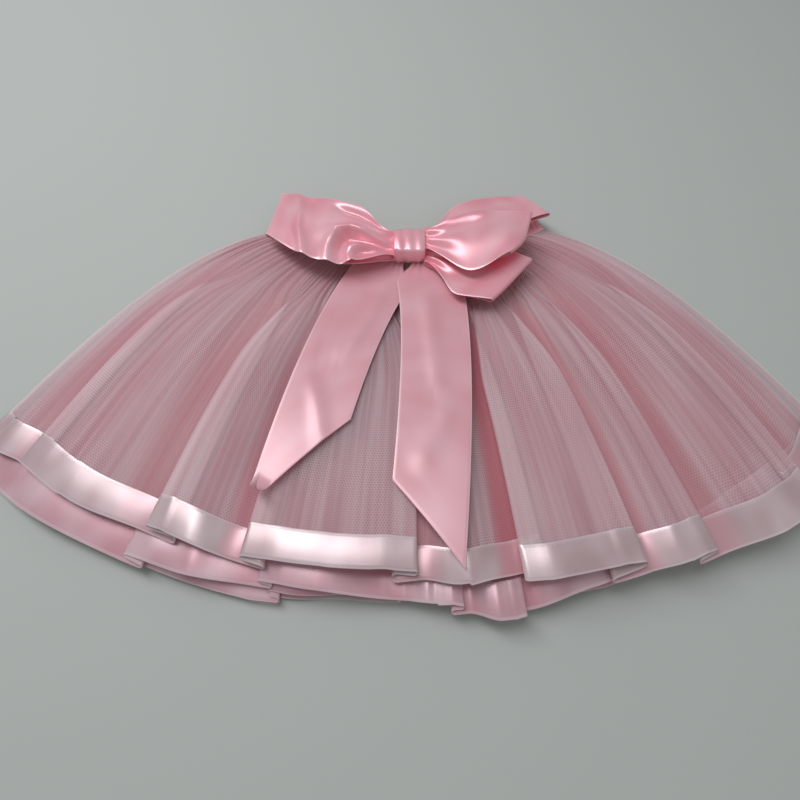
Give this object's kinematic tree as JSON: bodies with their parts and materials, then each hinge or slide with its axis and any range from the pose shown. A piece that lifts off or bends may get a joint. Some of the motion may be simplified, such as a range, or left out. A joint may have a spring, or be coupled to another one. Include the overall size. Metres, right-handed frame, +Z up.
{
  "type": "tulle skirt",
  "caption": "Child's layered tulle skirt with satin ribbon hems and a satin bow with two tails on its waistband, laid flat with its front up.",
  "frame": {"origin": "middle of the skirt's outline as it lies, on the surface under it", "axes": "+Z up out of the surface and out of the skirt's front, +Y from the hem to the waistband, +X to the right as seen from above with the waistband at the top"},
  "size_m": [0.588, 0.3076, 0.044],
  "materials": {
    "tulle": "fine net, matt and see-through",
    "hem_satin": "pale satin ribbon",
    "bow_satin": "glossy satin ribbon"
  },
  "bodies": {
    "root": {"waistband_back": "bow_satin", "waistband_front": "bow_satin", "outer_tulle_back": "tulle", "inner_tulle_back": "tulle", "inner_tulle_front": "tulle", "outer_tulle_front": "tulle", "outer_hem_back": "hem_satin", "inner_hem_back": "hem_satin", "inner_hem_front": "hem_satin", "outer_hem_front": "hem_satin", "bow_knot": "bow_satin", "bow_loop_left": "bow_satin", "bow_loop_right_back": "bow_satin", "bow_loop_right_low": "bow_satin", "bow_loop_right_front": "bow_satin", "bow_tail_left": "bow_satin", "bow_tail_right": "bow_satin"}
  },
  "joints": []
}
